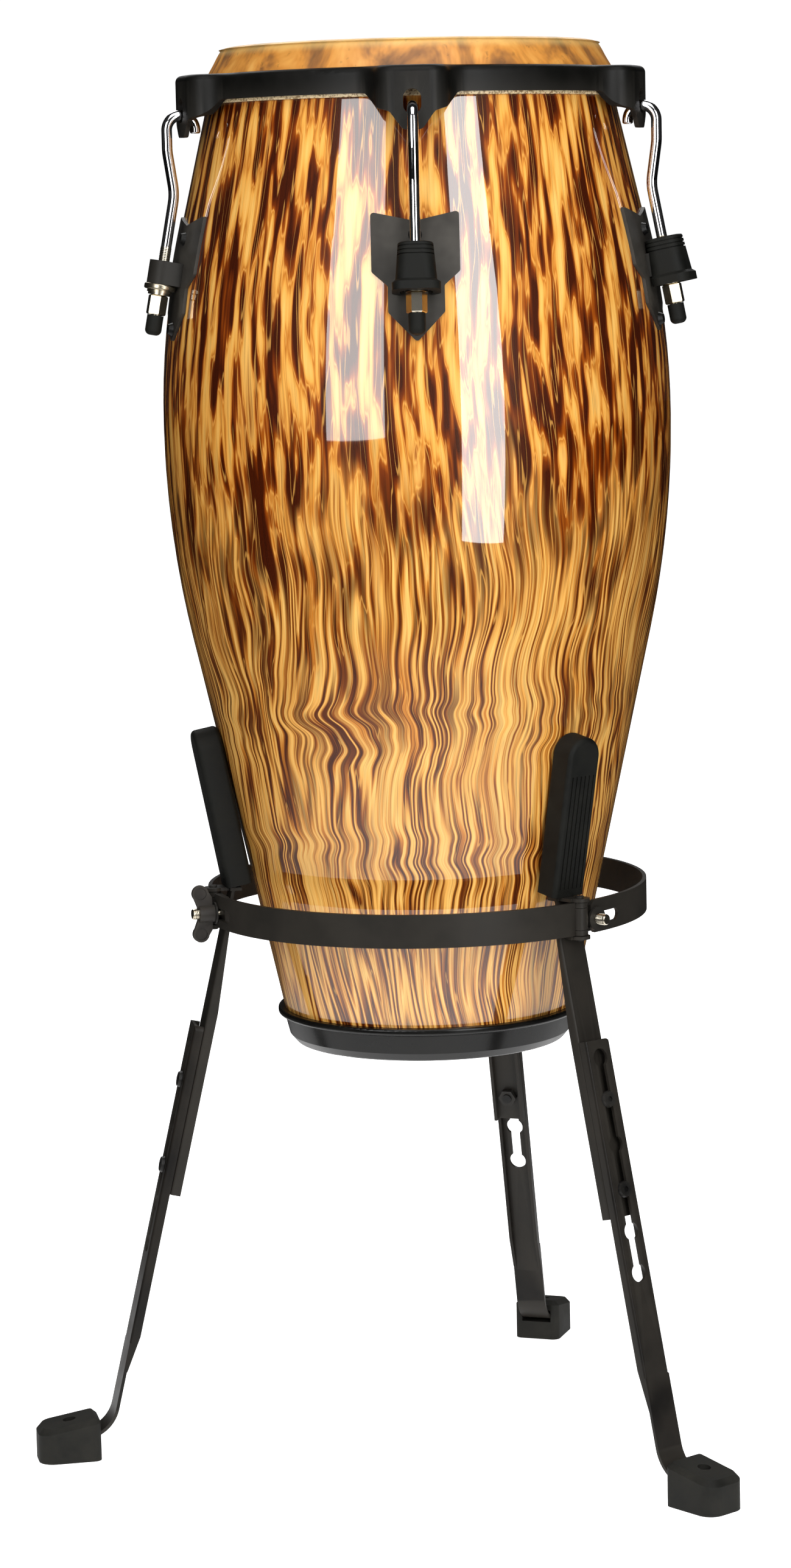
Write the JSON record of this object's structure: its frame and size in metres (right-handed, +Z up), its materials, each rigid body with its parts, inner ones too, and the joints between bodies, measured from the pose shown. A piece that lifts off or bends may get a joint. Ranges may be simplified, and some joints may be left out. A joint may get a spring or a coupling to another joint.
{
  "type": "conga drum in basket stand",
  "caption": "Tapered wooden hand drum with a hide head, rim, tuning hooks and side plates, held upright in a folding three-legged basket stand with padded arms and adjustable legs.",
  "frame": {"origin": "on the floor, under the drum's axis", "axes": "+Z up along the drum's axis, -Y towards the front lug, +X to the player's right of it"},
  "size_m": [0.5326, 0.5506, 1.078],
  "materials": {
    "shell": "high-gloss lacquer over a flamed brown figure",
    "bottom_band": "glossy black",
    "drumhead": "natural hide, amber with brown mottling",
    "flesh_hoop": "plain steel",
    "black_steel": "satin black powder coat",
    "nickel": "bright nickel",
    "black_fastener": "black oxide",
    "rubber": "matte black rubber",
    "stand_steel": "semi-gloss black powder coat",
    "wing_nut": "satin black die casting",
    "chrome": "polished chrome"
  },
  "bodies": {
    "stand": {"ring_band_front": "stand_steel", "ring_band_right": "stand_steel", "ring_band_left": "stand_steel", "hinge_leaves": "stand_steel", "hinge_brackets": "stand_steel", "hinge_pins": "black_fastener", "clamp_studs": "nickel", "stud_collars": "black_fastener", "leg_screws": "black_fastener", "leg_screw_nuts": "black_fastener", "upper_leg_right": "stand_steel", "pad_right": "rubber", "upper_leg_left": "stand_steel", "pad_left": "rubber", "upper_leg_rear": "stand_steel", "pad_rear": "rubber"},
    "drum": {"shell": "shell", "bottom_band": "bottom_band", "drumhead": "drumhead", "lug_receivers": "black_steel", "receiver_washers": "nickel", "nut_washers": "nickel", "plate_bolts": "black_fastener", "plate_bolt_washers": "nickel", "plate_bolt_nuts": "nickel", "lug_boot_front": "rubber", "lug_boot_right": "rubber", "side_plate_1": "black_steel", "side_plate_2": "black_steel", "side_plate_3": "black_steel", "side_plate_4": "black_steel", "side_plate_5": "black_steel"},
    "rim": {"rim": "black_steel", "flesh_hoop": "flesh_hoop"},
    "wing_washer": {"wing_washer": "black_fastener"},
    "wing_nut": {"wing_nut": "wing_nut"},
    "nut_1": {"tuning_nut_1": "nickel"},
    "hook_1": {"tuning_hook_1": "chrome", "rod_cap_1": "rubber"},
    "nut_2": {"tuning_nut_2": "nickel"},
    "hook_2": {"tuning_hook_2": "chrome", "rod_cap_2": "rubber"},
    "nut_3": {"tuning_nut_3": "nickel"},
    "hook_3": {"tuning_hook_3": "chrome", "rod_cap_3": "rubber"},
    "nut_4": {"tuning_nut_4": "nickel"},
    "hook_4": {"tuning_hook_4": "chrome", "rod_cap_4": "rubber"},
    "nut_5": {"tuning_nut_5": "nickel"},
    "hook_5": {"tuning_hook_5": "chrome", "rod_cap_5": "rubber"},
    "leg_right": {"lower_leg_right": "stand_steel", "foot_right": "rubber", "foot_screw_right": "black_fastener"},
    "leg_left": {"lower_leg_left": "stand_steel", "foot_left": "rubber", "foot_screw_left": "black_fastener"},
    "leg_rear": {"lower_leg_rear": "stand_steel", "foot_rear": "rubber", "foot_screw_rear": "black_fastener"}
  },
  "joints": [
    {"name": "drum_lift", "type": "slide", "parent": "stand", "child": "drum", "axis": [0, 0, 1], "range_m": [0, 0.3]},
    {"name": "tuning_nut_1_turn", "type": "hinge", "parent": "drum", "child": "nut_1", "pos_m": [0, -0.1966, 0.92], "axis": [0, 0.1908, 0.9816], "range_deg": [-30, 1470]},
    {"name": "tuning_nut_2_turn", "type": "hinge", "parent": "drum", "child": "nut_2", "pos_m": [0.18698, -0.06075, 0.92], "axis": [-0.1815, 0.059, 0.9816], "range_deg": [-30, 1470]},
    {"name": "tuning_nut_3_turn", "type": "hinge", "parent": "drum", "child": "nut_3", "pos_m": [0.11556, 0.15905, 0.92], "axis": [-0.1122, -0.1544, 0.9816], "range_deg": [-30, 1470]},
    {"name": "tuning_nut_4_turn", "type": "hinge", "parent": "drum", "child": "nut_4", "pos_m": [-0.11556, 0.15905, 0.92], "axis": [0.1122, -0.1544, 0.9816], "range_deg": [-30, 1470]},
    {"name": "tuning_nut_5_turn", "type": "hinge", "parent": "drum", "child": "nut_5", "pos_m": [-0.18698, -0.06075, 0.92], "axis": [0.1815, 0.059, 0.9816], "range_deg": [-30, 1470]},
    {"name": "rim_slide", "type": "slide", "parent": "drum", "child": "rim", "axis": [0, 0, -1], "range_m": [0, 0.005], "deforming": ["drumhead"]},
    {"name": "tuning_hook_1_slide", "type": "slide", "parent": "drum", "child": "hook_1", "axis": [0, -0.1908, -0.9816], "range_m": [-0.0003, 0.00539]},
    {"name": "tuning_hook_2_slide", "type": "slide", "parent": "drum", "child": "hook_2", "axis": [0.1815, -0.059, -0.9816], "range_m": [-0.0003, 0.00539]},
    {"name": "tuning_hook_3_slide", "type": "slide", "parent": "drum", "child": "hook_3", "axis": [0.1122, 0.1544, -0.9816], "range_m": [-0.0003, 0.00539]},
    {"name": "tuning_hook_4_slide", "type": "slide", "parent": "drum", "child": "hook_4", "axis": [-0.1122, 0.1544, -0.9816], "range_m": [-0.0003, 0.00539]},
    {"name": "tuning_hook_5_slide", "type": "slide", "parent": "drum", "child": "hook_5", "axis": [-0.1815, -0.059, -0.9816], "range_m": [-0.0003, 0.00539]},
    {"name": "leg_right_extension", "type": "slide", "parent": "stand", "child": "leg_right", "axis": [0.1518, -0.1728, -0.9732], "range_m": [-0.06, 0.03]},
    {"name": "leg_left_extension", "type": "slide", "parent": "stand", "child": "leg_left", "axis": [-0.2256, -0.0451, -0.9732], "range_m": [-0.06, 0.03]},
    {"name": "leg_rear_extension", "type": "slide", "parent": "stand", "child": "leg_rear", "axis": [0.0738, 0.2179, -0.9732], "range_m": [-0.06, 0.03]},
    {"name": "wing_nut_travel", "type": "slide", "parent": "stand", "child": "wing_washer", "axis": [-0.9548, -0.2974, 0], "range_m": [0, 0.004]},
    {"name": "wing_nut_turn", "type": "hinge", "parent": "wing_washer", "child": "wing_nut", "pos_m": [-0.16422, -0.05115, 0.4245], "axis": [-0.9548, -0.2974, 0], "range_deg": [-30, 1182]}
  ],
  "couplings": [
    {"joint": "tuning_nut_1_turn", "follows": "rim_slide", "rad_per_m": 5026.5},
    {"joint": "tuning_nut_2_turn", "follows": "rim_slide", "rad_per_m": 5026.5},
    {"joint": "tuning_nut_3_turn", "follows": "rim_slide", "rad_per_m": 5026.5},
    {"joint": "tuning_nut_4_turn", "follows": "rim_slide", "rad_per_m": 5026.5},
    {"joint": "tuning_nut_5_turn", "follows": "rim_slide", "rad_per_m": 5026.5},
    {"joint": "tuning_hook_1_slide", "follows": "rim_slide", "ratio": 1.0187},
    {"joint": "tuning_hook_2_slide", "follows": "rim_slide", "ratio": 1.0187},
    {"joint": "tuning_hook_3_slide", "follows": "rim_slide", "ratio": 1.0187},
    {"joint": "tuning_hook_4_slide", "follows": "rim_slide", "ratio": 1.0187},
    {"joint": "tuning_hook_5_slide", "follows": "rim_slide", "ratio": 1.0187},
    {"joint": "wing_nut_turn", "follows": "wing_nut_travel", "rad_per_m": 5026.5}
  ]
}
